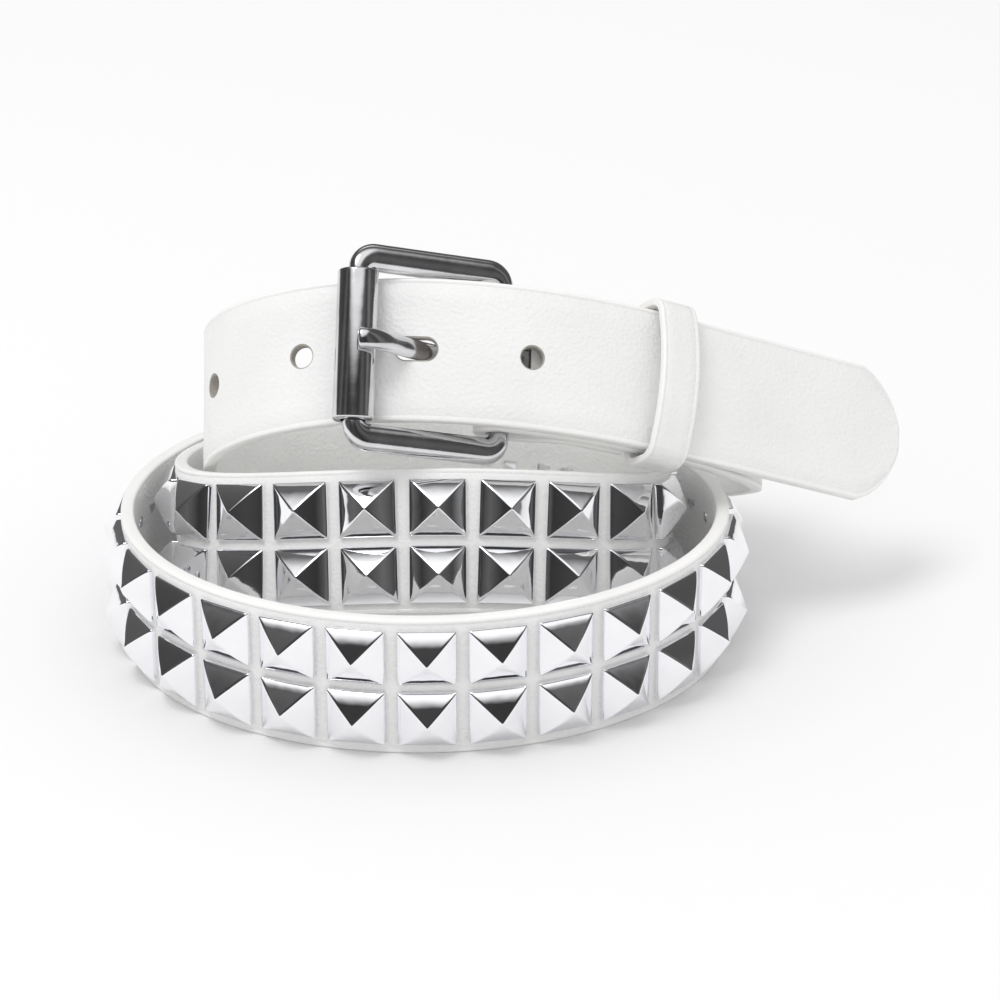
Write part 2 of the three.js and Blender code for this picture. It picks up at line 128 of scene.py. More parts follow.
# The coil by quarter turns: half axes and shift as shares of the coil's half width and half depth,
# height of the lower edge in strap widths, and backward lean in degrees
COIL_TABLE = [
    dict(across=1.0, centre=0.3, deep=0.46, rise=1.78, tilt=35),
    dict(across=0.685, centre=0.25, deep=0.43, rise=1.0, tilt=33),
    dict(across=0.73, centre=0.14, deep=0.475, rise=0.1, tilt=4),
    dict(across=0.78, centre=0.02, deep=0.5, rise=0.21, tilt=20),
    dict(across=0.82, centre=0.03, deep=0.53, rise=0.61, tilt=25),
    dict(across=0.83, centre=0.02, deep=0.6, rise=0.22, tilt=20),
    dict(across=0.89, centre=-0.02, deep=0.82, rise=0, tilt=0),
    dict(across=0.97, centre=-0.06, deep=0.93, rise=0, tilt=0),
    dict(across=1, centre=-0.07, deep=1, rise=0, tilt=0),
    dict(across=1, centre=-0.07, deep=1, rise=0, tilt=0),
    dict(across=1.03, centre=-0.02, deep=1.01, rise=0, tilt=0),
    dict(across=1.1, centre=0.36, deep=0.61, rise=0.85, tilt=36),
]
COIL_DEGREES = len(COIL_TABLE) * QUARTER
HINGE_TURN = COIL_DEGREES - 14


def smoothstep(value, low, high):
    share = min(1.0, max(0.0, (value - low) / (high - low)))
    return share * share * (3 - 2 * share)


def lerp(a, b, share):
    return a + (b - a) * share


class Place:
    """A point with three directions: along the strap, across it, and out of its face."""

    def __init__(self, point, along, wide):
        self.point = point
        self.along = along
        self.wide = wide
        self.out = wide.cross(along)

    def at(self, along=0.0, wide=0.0, out=0.0):
        return self.point + self.along * along + self.wide * wide + self.out * out

    def moved(self, along=0.0, wide=0.0, out=0.0):
        return Place(self.at(along, wide, out), self.along, self.wide)


def coil_value(column, degrees):
    place = degrees / QUARTER
    row = math.floor(place)
    t = place - row
    count = len(COIL_TABLE)
    a, b, c, d = (COIL_TABLE[(row + step) % count][column] for step in (-1, 0, 1, 2))
    slope_b = (c - a) / 2
    slope_c = (d - b) / 2
    t2 = t * t
    t3 = t2 * t
    return ((2 * t3 - 3 * t2 + 1) * b + (t3 - 2 * t2 + t) * slope_b
            + (3 * t2 - 2 * t3) * c + (t3 - t2) * slope_c)


def coil_point(degrees):
    angle = math.radians(degrees)
    tilt = math.radians(max(0, coil_value("tilt", degrees)))
    rise = max(0, coil_value("rise", degrees)) * STRAP_WIDTH
    return Vector((
        -coil_value("across", degrees) * COIL_HALF_WIDTH * math.sin(angle),
        (coil_value("centre", degrees) - coil_value("deep", degrees) * math.cos(angle)) * COIL_HALF_DEPTH,
        rise + STRAP_WIDTH / 2 * math.cos(tilt)))


def coil_place(degrees, layers):
    step = 0.5
    along = (coil_point(degrees + step) - coil_point(degrees - step)).normalized()
    tilt = math.radians(max(0, coil_value("tilt", degrees)))
    wide = Vector((0, math.sin(tilt), math.cos(tilt)))
    wide = (wide - along * wide.dot(along)).normalized()
    return Place(coil_point(degrees), along, wide).moved(out=layers * (STRAP_THICKNESS + PLY_GAP))


BAR_RADIUS = BAR_THICKNESS / 2
BAR_CORNER = math.hypot(BAR_RADIUS, BAR_RADIUS - BAR_BEVEL)
FOLD_RADIUS = BAR_CORNER + CLEARANCE + STRAP_THICKNESS / 2
LAYER_PITCH = STRAP_THICKNESS + PLY_GAP
ROLLER_RADIUS = ROLLER_DIAMETER / 2
ROLLER_OUT = STRAP_THICKNESS / 2 + CLEARANCE + ROLLER_RADIUS
BUCKLE_RISE = FOLD_RADIUS + LAYER_PITCH + ROLLER_OUT
ALONG_REACH = math.sqrt(BUCKLE_REACH ** 2 - BUCKLE_RISE ** 2)
TIP_HINGE_TURN = HINGE_TURN - COIL_DEGREES


def turn_after(degrees, distance, layers):
    turn, walked, step = degrees, 0.0, 0.25
    while walked < distance:
        walked += (coil_place(turn, layers).point - coil_place(turn + step, layers).point).length
        turn += step
    return turn


TIP_MIDDLE = coil_place(turn_after(TIP_HINGE_TURN, ALONG_REACH / 2, 1), 1)
TIP_AT_ROLLER = coil_place(turn_after(TIP_HINGE_TURN, ALONG_REACH, 1), 1)


def hinge_squared(place, share):
    wide = place.wide.lerp(TIP_MIDDLE.wide, share).normalized()
    along = (place.along - wide * place.along.dot(wide)).normalized()
    return Place(place.point, along, wide)


HINGE = hinge_squared(coil_place(HINGE_TURN, 0), 1)
HINGE_POINT = HINGE.at(out=-FOLD_RADIUS)


def strap_route():
    """The strap's middle line from the tip to the end of the folded flap."""
    tip = coil_place(TIP_TURN, 1)
    route = [tip.moved(along=-distance) for distance in range(int(TIP_LENGTH), 0, -1)]
    degrees = TIP_TURN
    while degrees < HINGE_TURN:
        layers = 1 - smoothstep(degrees, 0, LAYER_END)
        share = smoothstep(degrees, HINGE_TURN - SQUARING_TURN, HINGE_TURN)
        route.append(hinge_squared(coil_place(degrees, layers), share))
        degrees += 1
    fold_steps = 12
    for i in range(fold_steps + 1):
        turn = math.pi * i / fold_steps
        point = HINGE.at(out=FOLD_RADIUS * (math.cos(turn) - 1), along=FOLD_RADIUS * math.sin(turn))
        route.append(Place(point, HINGE.along * math.cos(turn) - HINGE.out * math.sin(turn), HINGE.wide))
    degrees_per_mm = 180 / math.pi / COIL_HALF_WIDTH
    for distance in range(1, int(FLAP_LENGTH) + 1):
        turn = HINGE_TURN - distance * degrees_per_mm
        share = smoothstep(turn, HINGE_TURN - SQUARING_TURN, HINGE_TURN)
        main = hinge_squared(coil_place(turn, 0), share)
        close = smoothstep(distance, FOLD_RADIUS, FOLD_RADIUS + FLAP_NARROWING)
        point = main.at(out=-lerp(2 * FOLD_RADIUS, STRAP_THICKNESS + PLY_GAP, close))
        route.append(Place(point, -main.along, main.wide))
    return route


ROUTE = strap_route()
LENGTHS = [0.0]
for before, after in zip(ROUTE, ROUTE[1:]):
    LENGTHS.append(LENGTHS[-1] + (after.point - before.point).length)
STRAP_LENGTH = LENGTHS[-1]
HINGE_DISTANCE = STRAP_LENGTH - (math.pi * FOLD_RADIUS + FLAP_LENGTH)


def place_at(distance):
    low, high = 0, len(LENGTHS) - 1
    while high - low > 1:
        middle = (low + high) // 2
        if LENGTHS[middle] < distance:
            low = middle
        else:
            high = middle
    t = (distance - LENGTHS[low]) / (LENGTHS[high] - LENGTHS[low])
    a, b = ROUTE[low], ROUTE[high]
    along = a.along.lerp(b.along, t).normalized()
    wide = a.wide.lerp(b.wide, t)
    wide = (wide - along * wide.dot(along)).normalized()
    return Place(a.point.lerp(b.point, t), along, wide)


def tip_distance_at(degrees):
    point = coil_place(degrees, 1).point
    near = [i for i in range(len(ROUTE)) if LENGTHS[i] < STRAP_LENGTH / 2]
    return LENGTHS[min(near, key=lambda i: (ROUTE[i].point - point).length)]


ROLLER_POINT = TIP_AT_ROLLER.at(out=ROLLER_OUT)
BUCKLE_ALONG = (ROLLER_POINT - HINGE_POINT).normalized()
BUCKLE_WIDE = (TIP_MIDDLE.wide - BUCKLE_ALONG * TIP_MIDDLE.wide.dot(BUCKLE_ALONG)).normalized()
BUCKLE = Place(HINGE_POINT, BUCKLE_ALONG, BUCKLE_WIDE)
FRAME_REACH = (ROLLER_POINT - HINGE_POINT).length

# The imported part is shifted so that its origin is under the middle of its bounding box
roller_low, roller_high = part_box("buckle_roller")
SHIFT = (roller_low + roller_high) / 2 - ROLLER_POINT * METRES


# Shells: lists of points in millimetres about the coil's middle, and of faces
def loft(rings, closed=False):
    """Faces between rings of equally many points, with an end face at each end unless closed."""
    sides = len(rings[0])
    points = [point for ring in rings for point in ring]
    faces = []
    for i in range(len(rings) if closed else len(rings) - 1):
        here = i * sides
        there = (i + 1) % len(rings) * sides
        for j in range(sides):
            k = (j + 1) % sides
            faces.append((here + j, here + k, there + k, there + j))
    if not closed:
        last = (len(rings) - 1) * sides
        faces.append(tuple(reversed(range(sides))))
        faces.append(tuple(last + j for j in range(sides)))
    return points, faces


def joined(shells):
    points, faces = [], []
    for shell_points, shell_faces in shells:
        start = len(points)
        points.extend(shell_points)
        faces.extend(tuple(start + i for i in face) for face in shell_faces)
    return points, faces


def new_mesh(name, shell):
    points, faces = shell
    mesh = bpy.data.meshes.new(name)
    mesh.from_pydata(points, [], faces)
    body = bmesh.new()
    body.from_mesh(mesh)
    bmesh.ops.recalc_face_normals(body, faces=body.faces)
    body.to_mesh(mesh)
    body.free()
    return mesh


def add_piece(name, mesh, materials, node, sharp_degrees):
    """Put a mesh into the row frame, in metres, as a piece that stands for a node."""
    mesh.transform(Matrix.Translation(SHIFT) @ Matrix.Scale(METRES, 4))
    if not mesh.materials:
        for material in materials:
            mesh.materials.append(material)
    mesh.shade_smooth()
    mesh.set_sharp_from_angle(angle=math.radians(sharp_degrees))
    piece = bpy.data.objects.new(name, mesh)
    bpy.context.scene.collection.objects.link(piece)
    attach(piece, "root")
    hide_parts(node)
    return piece


def cut(mesh, cutters, materials):
    """The mesh less the cutters' shells, with the last material on the new walls."""
    scene = bpy.context.scene
    body = bpy.data.objects.new("body", mesh)
    tool = bpy.data.objects.new("tool", new_mesh("tool", joined(cutters)))
    for each in (body, tool):
        scene.collection.objects.link(each)
        for material in materials:
            each.data.materials.append(material)
    tool.data.polygons.foreach_set("material_index", [len(materials) - 1] * len(tool.data.polygons))
    modifier = body.modifiers.new("cut", "BOOLEAN")
    modifier.operation = "DIFFERENCE"
    modifier.solver = "EXACT"
    modifier.material_mode = "INDEX"
    modifier.object = tool
    result = bpy.data.meshes.new_from_object(body.evaluated_get(bpy.context.evaluated_depsgraph_get()))
    result.name = mesh.name
    for each in (body, tool):
        bpy.data.objects.remove(each)
    return result


def band_section(half_wide, half_thick, radius, corner_steps, wide_steps, crease=0.0):
    """Section of a band with round edges, from the upper edge over the inner face and back over the outer.

    Each row is (wide, out, kind), where kind names the side that starts there: rim, inner or outer.
    A crease is the depth of the pressed line beside both edges of the outer face.
    """
    most_round = 0.95
    crease_reaches = 8
    radius = min(radius, half_wide * most_round, half_thick * most_round)
    rows = []
    for side_wide, side_out, first in ((1, 1, 90), (1, -1, 0), (-1, -1, -90), (-1, 1, -180)):
        for i in range(corner_steps + 1):
            angle = math.radians(first - 90 * i / corner_steps)
            rows.append((side_wide * (half_wide - radius) + radius * math.cos(angle),
                         side_out * (half_thick - radius) + radius * math.sin(angle), "rim"))
        if side_wide == side_out:
            continue
        kind = "outer" if side_out > 0 else "inner"
        face = side_out * half_thick
        reach = half_wide - radius
        rows[-1] = (side_wide * reach, face, kind)
        room = min(1, reach / (crease_reaches * CREASE_INSET))
        inset = CREASE_INSET * room if crease and side_out > 0 else 0
        line = [(reach - inset, 0), (reach - 2 * inset, crease), (reach - 3 * inset, 0)] if inset else []
        rows += [(side_wide * w, face - dip, kind) for w, dip in line]
        middle = reach - 3 * inset
        steps = [lerp(middle, -middle, i / wide_steps) for i in range(1, wide_steps)]
        rows += [(side_wide * w, face, kind) for w in steps]
        rows += [(-side_wide * w, face - dip, kind) for w, dip in reversed(line)]
    return rows


def oval_section(half_wide, half_thick, power, steps):
    """Section between an ellipse, at power 2, and a rectangle, as (wide, out)."""
    points = []
    for i in range(steps):
        angle = 2 * math.pi * i / steps
        c, s = math.cos(angle), math.sin(angle)
        points.append((half_wide * math.copysign(abs(c) ** (2 / power), c),
                       half_thick * math.copysign(abs(s) ** (2 / power), s)))
    return points


def set_sides(mesh, rows, indices):
    """Material index of each side face of a sweep, by the kind of its section row."""
    for i, polygon in enumerate(mesh.polygons):
        on_side = len(polygon.vertices) == 4
        polygon.material_index = indices[rows[i % len(rows)][2]] if on_side else indices["rim"]


def rounded_loop(left, right, half, corner, corner_steps, side_steps):
    """Points (x, y) and outward directions (x, y) once round a rectangle with round corners."""
    corners = []
    for side_x, side_y, first in ((1, 1, 0), (-1, 1, 90), (-1, -1, 180), (1, -1, 270)):
        centre_x = right - corner if side_x > 0 else left + corner
        centre_y = side_y * (half - corner)
        for i in range(corner_steps + 1):
            angle = math.radians(first + 90 * i / corner_steps)
            c, s = math.cos(angle), math.sin(angle)
            corners.append((centre_x + corner * c, centre_y + corner * s, c, s))
    loop = []
    for i, here in enumerate(corners):
        loop.append(here)
        if i % (corner_steps + 1) == corner_steps:
            there = corners[(i + 1) % len(corners)]
            for step in range(1, side_steps):
                loop.append(tuple(lerp(a, b, step / side_steps) for a, b in zip(here, there)))
    return loop


def lathe_out(place, profile, steps):
    """Shell turned about a place's outward axis, from (radius, out) rows."""
    rings = []
    for radius, height in profile:
        angles = [2 * math.pi * i / steps for i in range(steps)]
        rings.append([place.at(radius * math.cos(a), radius * math.sin(a), height) for a in angles])
    return loft(rings)


# Materials
def new_material(name):
    material = bpy.data.materials.new(name)
    material.use_nodes = True
    nodes = material.node_tree.nodes
    return material, nodes, material.node_tree.links, nodes["Principled BSDF"]


def add_noise(nodes, links, coordinates, scale, detail, roughness=0.5):
    noise = nodes.new("ShaderNodeTexNoise")
    noise.inputs["Scale"].default_value = scale
    noise.inputs["Detail"].default_value = detail
    noise.inputs["Roughness"].default_value = roughness
    links.new(coordinates, noise.inputs["Vector"])
    return noise.outputs["Fac"]


def add_range(nodes, links, value, low, high):
    """The middle half of a noise value spread from low to high."""
    spread = nodes.new("ShaderNodeMapRange")
    spread.inputs["From Min"].default_value = 0.3
    spread.inputs["From Max"].default_value = 0.7
    spread.inputs["To Min"].default_value = low
    spread.inputs["To Max"].default_value = high
    links.new(value, spread.inputs["Value"])
    return spread.outputs["Result"]


def add_tint(nodes, links, value, dark, light):
    ramp = nodes.new("ShaderNodeValToRGB")
    ramp.color_ramp.elements[0].position = 0.3
    ramp.color_ramp.elements[0].color = (*dark, 1)
    ramp.color_ramp.elements[1].position = 0.7
    ramp.color_ramp.elements[1].color = (*light, 1)
    links.new(value, ramp.inputs["Fac"])
    return ramp.outputs["Color"]


def add_bump(nodes, links, height, distance, strength, below=None):
    bump = nodes.new("ShaderNodeBump")
    bump.inputs["Distance"].default_value = distance
    bump.inputs["Strength"].default_value = strength
    links.new(height, bump.inputs["Height"])
    if below:
        links.new(below, bump.inputs["Normal"])
    return bump.outputs["Normal"]


def leather(name, dark, light, grain, roughness):
    """Coated leather: a fine pebble grain over slow unevenness, a little mottled in tone and gloss."""
    material, nodes, links, surface = new_material(name)
    where = nodes.new("ShaderNodeTexCoord").outputs["Object"]
    mottle = add_noise(nodes, links, where, 45, 3)
    links.new(add_tint(nodes, links, mottle, dark, light), surface.inputs["Base Color"])
    fine = add_noise(nodes, links, where, 1800, 2)
    gloss = add_range(nodes, links, fine, roughness - 0.05, roughness + 0.07)
    links.new(gloss, surface.inputs["Roughness"])
    pebbles = nodes.new("ShaderNodeTexVoronoi")
    pebbles.feature = "SMOOTH_F1"
    pebbles.inputs["Scale"].default_value = 1300
    links.new(where, pebbles.inputs["Vector"])
    slow = add_noise(nodes, links, where, 110, 2)
    uneven = add_bump(nodes, links, slow, 0.0004, 0.25)
    links.new(add_bump(nodes, links, pebbles.outputs["Distance"], 0.0003, grain, uneven),
              surface.inputs["Normal"])
    surface.inputs["Specular IOR Level"].default_value = 0.35
    return material


def polished(name, dark, light, roughness, scratches):
    """Plated metal: slight waves of the pressed sheet, and faint scratches that catch the light."""
    material, nodes, links, surface = new_material(name)
    where = nodes.new("ShaderNodeTexCoord").outputs["Object"]
    haze = add_noise(nodes, links, where, 140, 4)
    links.new(add_tint(nodes, links, haze, dark, light), surface.inputs["Base Color"])
    links.new(add_range(nodes, links, haze, roughness, roughness * 1.8), surface.inputs["Roughness"])
    stretch = nodes.new("ShaderNodeMapping")
    stretch.inputs["Scale"].default_value = (1, 1, 14)
    stretch.inputs["Rotation"].default_value = (0.7, 0.4, 0.2)
    links.new(where, stretch.inputs["Vector"])
    lines = add_noise(nodes, links, stretch.outputs["Vector"], 500, 3)
    waves = add_bump(nodes, links, add_noise(nodes, links, where, 260, 1), 0.0003, 0.12)
    links.new(add_bump(nodes, links, lines, 0.00005, scratches, waves), surface.inputs["Normal"])
    surface.inputs["Metallic"].default_value = 1
    return material


LEATHER_FACE = leather("white_leather_face", (0.76, 0.76, 0.755), (0.81, 0.81, 0.805), 0.5, 0.42)
LEATHER_EDGE = leather("white_leather_edge", (0.81, 0.805, 0.79), (0.86, 0.855, 0.84), 0.12, 0.34)
LEATHER_LINING = leather("white_leather_lining", (0.86, 0.86, 0.845), (0.91, 0.91, 0.895), 0.5, 0.6)
# The cut walls of the holes, the prong slot and the rivet pocket get this dark brown-grey. It is partly
# the tone of the leather's cut core and partly painted shade that darkens the holes.
LEATHER_CORE_AND_HOLE_SHADE = leather("white_leather_core_and_painted_hole_shade", (0.3, 0.28, 0.255), (0.44, 0.415, 0.38), 0.5, 0.8)
STUD_CHROME = polished("stud_chrome", (0.9, 0.9, 0.925), (0.95, 0.95, 0.975), 0.04, 0.02)
BUCKLE_CHROME = polished("buckle_chrome", (0.62, 0.62, 0.635), (0.76, 0.76, 0.775), 0.08, 0.1)


# The strap: face, edge and lining in one sweep, with its holes cut
STRAP_STEP = 1.5
PRONG_CURL = BAR_CORNER + CLEARANCE + PRONG_THICKNESS / 2
PRONG_LIFT = ROLLER_RADIUS + CLEARANCE + PRONG_THICKNESS / 2
PRONG_TABLE = [
    dict(way=0, climb=0),
    dict(way=0.26, climb=0.01),
    dict(way=0.46, climb=0.1),
    dict(way=0.655, climb=0.47),
    dict(way=0.82, climb=0.84),
    dict(way=0.92, climb=0.98),
    dict(way=0.98, climb=1),
]


def in_strap(point):
    offset = point - TIP_MIDDLE.point
    return offset.dot(TIP_MIDDLE.along), offset.dot(TIP_MIDDLE.out)


def spline(knots, steps):
    """Points of a smooth curve through the knots."""
    points = []
    for i in range(steps + 1):
        place = i / steps * (len(knots) - 1)
        row = min(int(place), len(knots) - 2)
        t = place - row
        a, b = knots[max(0, row - 1)], knots[row]
        c, d = knots[row + 1], knots[min(len(knots) - 1, row + 2)]
        if row == 0:
            a = b
        points.append(tuple(
            ((2 * b[k] - 2 * c[k] + (c[k] - a[k]) / 2 + (d[k] - b[k]) / 2) * t ** 3
             + (-3 * b[k] + 3 * c[k] - (c[k] - a[k]) - (d[k] - b[k]) / 2) * t ** 2
             + (c[k] - a[k]) / 2 * t + b[k]) for k in (0, 1)))
    return points


def prong_curl():
    """The prong's eye round the hinge bar, in (along, out)."""
    hinge_x, hinge_y = in_strap(HINGE_POINT)
    points = []
    curl_degrees, curl_steps = 270, 27
    for i in range(curl_steps):
        angle = math.radians(curl_degrees * (1 - i / curl_steps))
        points.append((hinge_x - PRONG_CURL * math.sin(angle), hinge_y + PRONG_CURL * math.cos(angle)))
    return points


def prong_arm():
    """The prong's arm from its eye through the hole to the roller, in (along, out)."""
    hinge_x, hinge_y = in_strap(HINGE_POINT)
    roller_x, roller_y = in_strap(ROLLER_POINT)
    start = hinge_y + PRONG_CURL
    climb = roller_y + PRONG_LIFT - start
    knots = [(lerp(hinge_x, roller_x, row["way"]), start + climb * row["climb"]) for row in PRONG_TABLE]
    arm_steps = 48
    return spline(knots, arm_steps)


def prong_crossing():
    """Where the arm passes through the middle of the strap, along it."""
    arm = prong_arm()
    i = next(i for i, place in enumerate(arm) if place[1] > 0)
    before, after = arm[i - 1], arm[i]
    return lerp(before[0], after[0], -before[1] / (after[1] - before[1]))


PRONG_HOLE = tip_distance_at(TIP_HINGE_TURN) + ALONG_REACH / 2 + prong_crossing()
RIVET = place_at(HINGE_DISTANCE - RIVET_SETBACK)


def half_width_at(distance):
    share = min(1, distance / TIP_POINT)
    round_share = math.sqrt(1 - (1 - share) ** 2)
    full = STRAP_WIDTH / 2 * lerp(share, round_share, TIP_ROUNDNESS)
    return max(TIP_FLAT / 2, full)


def half_thickness_at(distance):
    """Half the thickness, rounded off at the very tip."""
    short = max(0, EDGE_RADIUS - distance)
    return STRAP_THICKNESS / 2 - EDGE_RADIUS + math.sqrt(EDGE_RADIUS ** 2 - short ** 2)


def strap_stations():
    tip_steps = 16
    stations = [TIP_POINT * (1 - math.cos(math.pi / 2 * i / tip_steps)) for i in range(tip_steps)]
    middle = math.ceil((HINGE_DISTANCE - TIP_POINT) / STRAP_STEP)
    stations += [lerp(TIP_POINT, HINGE_DISTANCE, i / middle) for i in range(middle)]
    fold_steps = 24
    fold = math.pi * FOLD_RADIUS
    stations += [HINGE_DISTANCE + fold * i / fold_steps for i in range(fold_steps)]
    stations += [HINGE_DISTANCE + fold + distance for distance in range(int(FLAP_LENGTH))]
    return [*stations, STRAP_LENGTH]


def strap_mesh():
    rings = []
    for distance in strap_stations():
        place = place_at(distance)
        rows = band_section(half_width_at(distance), half_thickness_at(distance),
                            EDGE_RADIUS, EDGE_STEPS, FACE_STEPS, FACE_CREASE)
        rings.append([place.at(wide=w, out=t) for w, t, _ in rows])
    mesh = new_mesh("strap_leather", loft(rings))
    set_sides(mesh, rows, {"outer": 0, "rim": 1, "inner": 2})
    return mesh


def hole_cutter(distance, stretch):
    """A round or drawn-out hole through the strap, a little wider at both faces."""
    place = place_at(distance)
    radius = HOLE_DIAMETER / 2
    half = STRAP_THICKNESS / 2
    flare = 0.35
    rows = ((half + flare, 2 * flare), (half - flare, 0), (flare - half, 0), (-half - flare, 2 * flare))
    steps = 32
    rings = []
    for height, wider in rows:
        ring = []
        for i in range(steps):
            angle = 2 * math.pi * (i + 0.5) / steps
            side = math.copysign(stretch / 2, math.cos(angle))
            ring.append(place.at(
                side + (radius + wider) * math.cos(angle), (radius + wider) * math.sin(angle), height))
        rings.append(ring)
    return loft(rings)


def fold_slot_cutter():
    """The slot in the fold that the prong's eye turns in."""
    outer = PRONG_CURL + PRONG_THICKNESS / 2 + 2 * CLEARANCE
    top = FOLD_RADIUS + STRAP_THICKNESS / 2 + PLY_GAP / 3
    bottom = front = FOLD_RADIUS + STRAP_THICKNESS
    half = (PRONG_WIDTH + 3 * CLEARANCE) / 2
    place = Place(HINGE_POINT, HINGE.along, HINGE.wide)
    corners = ((-half, -bottom), (half, -bottom), (half, top), (-half, top))
    return loft([[place.at(along, w, t) for w, t in corners] for along in (-outer, front)])


def rivet_cutter():
    hole = RIVET_SHANK_DIAMETER / 2 + CLEARANCE
    head = RIVET_HEAD_DIAMETER / 2 + CLEARANCE
    face = STRAP_THICKNESS / 2
    floor = face - RIVET_POCKET
    bottom = -LAYER_PITCH - STRAP_THICKNESS
    rows = ((hole, bottom), (hole, floor), (head, floor), (head, face + PLY_GAP / 3))
    return lathe_out(RIVET, rows, 32)


def add_strap():
    cutters = [hole_cutter(PRONG_HOLE, PRONG_HOLE_LENGTH - HOLE_DIAMETER)]
    cutters += [hole_cutter(PRONG_HOLE + (k + 1) * HOLE_PITCH, 0) for k in range(HOLES_INSIDE)]
    cutters += [hole_cutter(PRONG_HOLE - (k + 1) * HOLE_PITCH, 0) for k in range(HOLES_OUTSIDE)]
    cutters += [fold_slot_cutter(), rivet_cutter()]
    materials = [LEATHER_FACE, LEATHER_EDGE, LEATHER_LINING, LEATHER_CORE_AND_HOLE_SHADE]
    mesh = cut(strap_mesh(), cutters, materials)
    add_piece("strap_leather", mesh, materials, "studded_strap", 40)


# Studs
STUD_PROFILE = [
    dict(half=6.35, out=-0.9),
    dict(half=6.35, out=0.4),
    dict(half=6.28, out=0.72),
    dict(half=6.1, out=0.95),
    dict(half=5.4, out=1.57),
    dict(half=4.6, out=2.21),
    dict(half=3.6, out=2.92),
    dict(half=2.4, out=3.68),
    dict(half=1.2, out=4.36),
    dict(half=0.45, out=4.76),
    dict(half=0.12, out=4.93),
]
STUD_RIDGE = 0.32
STUD_SUPPORT = 0.45


def stud_ring(half):
    """A square with small round corners and a support point beside each."""
    ridge = min(STUD_RIDGE, half * 0.5)
    support = min(ridge + STUD_SUPPORT, half * 0.9)
    ring = []
    for quarter in range(4):
        c, s = math.cos(quarter * math.pi / 2), math.sin(quarter * math.pi / 2)
        corner = [(half, half - support)]
        for i in range(4):
            angle = math.radians(30 * i)
            corner.append((half - ridge + ridge * math.cos(angle), half - ridge + ridge * math.sin(angle)))
        corner.append((half - support, half))
        ring += [(c * x - s * y, s * x + c * y) for x, y in corner]
    return ring


def stud_places():
    for column in range(STUD_COLUMNS):
        place = place_at(HINGE_DISTANCE - STUD_START - column * STUD_PITCH)
        for row in (-1, 1):
            yield place.moved(wide=row * STUD_ROW_PITCH / 2)


def add_studs():
    shells = []
    for place in stud_places():
        face = place.moved(out=STRAP_THICKNESS / 2)
        shells.append(loft([
            [face.at(x, y, row["out"]) for x, y in stud_ring(row["half"])] for row in STUD_PROFILE]))
    add_piece("pyramid_studs", new_mesh("pyramid_studs", joined(shells)), [STUD_CHROME],
              "studded_strap", 80)


# The studs' legs come through the strap and lie clinched on its lining
LEG_WIDTH = 2.5
LEG_LENGTH = 3.4
LEG_PROUD = 0.36
LEG_SETBACK = 4.6
LEG_SINK = 0.3
LEG_FLAT = 0.8
LEG_CROWN = 1.1
LEG_TAPER = 0.45
LEG_TABLE = [
    dict(way=0, proud=-0.4),
    dict(way=0.02, proud=0.5),
    dict(way=0.12, proud=0.95),
    dict(way=0.3, proud=1),
    dict(way=0.75, proud=0.9),
    dict(way=0.95, proud=0.5),
    dict(way=1, proud=-0.2),
]


def leg_ring(back, side, row):
    """One section of a leg, narrower towards its end and highest along its middle."""
    along = side * (LEG_SETBACK - row["way"] * LEG_LENGTH)
    half = LEG_WIDTH / 2 * (1 - LEG_TAPER * row["way"] ** 3)
    face = -row["proud"] * LEG_PROUD
    section = ((half, LEG_SINK), (half * LEG_FLAT, face), (0, face * LEG_CROWN),
               (-half * LEG_FLAT, face), (-half, LEG_SINK))
    return [back.at(along, w, t) for w, t in section]


def add_stud_backs():
    shells = []
    for place in stud_places():
        back = place.moved(out=-STRAP_THICKNESS / 2)
        for side in (-1, 1):
            shells.append(loft([leg_ring(back, side, row) for row in LEG_TABLE]))
    add_piece("stud_backs", new_mesh("stud_backs", joined(shells)), [STUD_CHROME],
              "studded_strap", 50)


# The keeper
def add_keeper():
    inner = coil_place(KEEPER_TURN, 0)
    outer = place_at(tip_distance_at(KEEPER_TURN))
    spread = (outer.point - inner.point).dot(outer.out)
    half_thick = (spread + STRAP_THICKNESS + KEEPER_SLACK) / 2
    half_wide = STRAP_WIDTH / 2 + KEEPER_ROOM
    along = (inner.along + outer.along).normalized()
    wide = inner.wide + outer.wide
    wide = (wide - along * wide.dot(along)).normalized()
    middle = Place(outer.point, along, wide).moved(out=-spread / 2)
    corner_steps, side_steps, face_steps = 6, 16, 4
    loop = rounded_loop(-half_thick, half_thick, half_wide, KEEPER_CORNER, corner_steps, side_steps)
    rows = band_section(KEEPER_WIDTH / 2, KEEPER_THICKNESS / 2,
                        KEEPER_EDGE_RADIUS, EDGE_STEPS, face_steps, FACE_CREASE)
    rings = []
    for out_by, wide_by, out_way, wide_way in loop:
        ring = []
        bow = KEEPER_BOW * max(0, 1 - (wide_by / half_wide) ** 2) if out_by > 0 else 0
        for along_by, t, _ in rows:
            depth = KEEPER_THICKNESS / 2 + t
            ring.append(middle.at(along_by, wide_by + depth * wide_way, out_by + bow + depth * out_way))
        rings.append(ring)
    mesh = new_mesh("keeper_leather", loft(rings, closed=True))
    set_sides(mesh, rows, {"outer": 0, "rim": 1, "inner": 2})
    add_piece("keeper_leather", mesh, [LEATHER_FACE, LEATHER_EDGE, LEATHER_LINING],
              "keeper_loop", 50)


# The buckle
OVAL_STEPS = 24


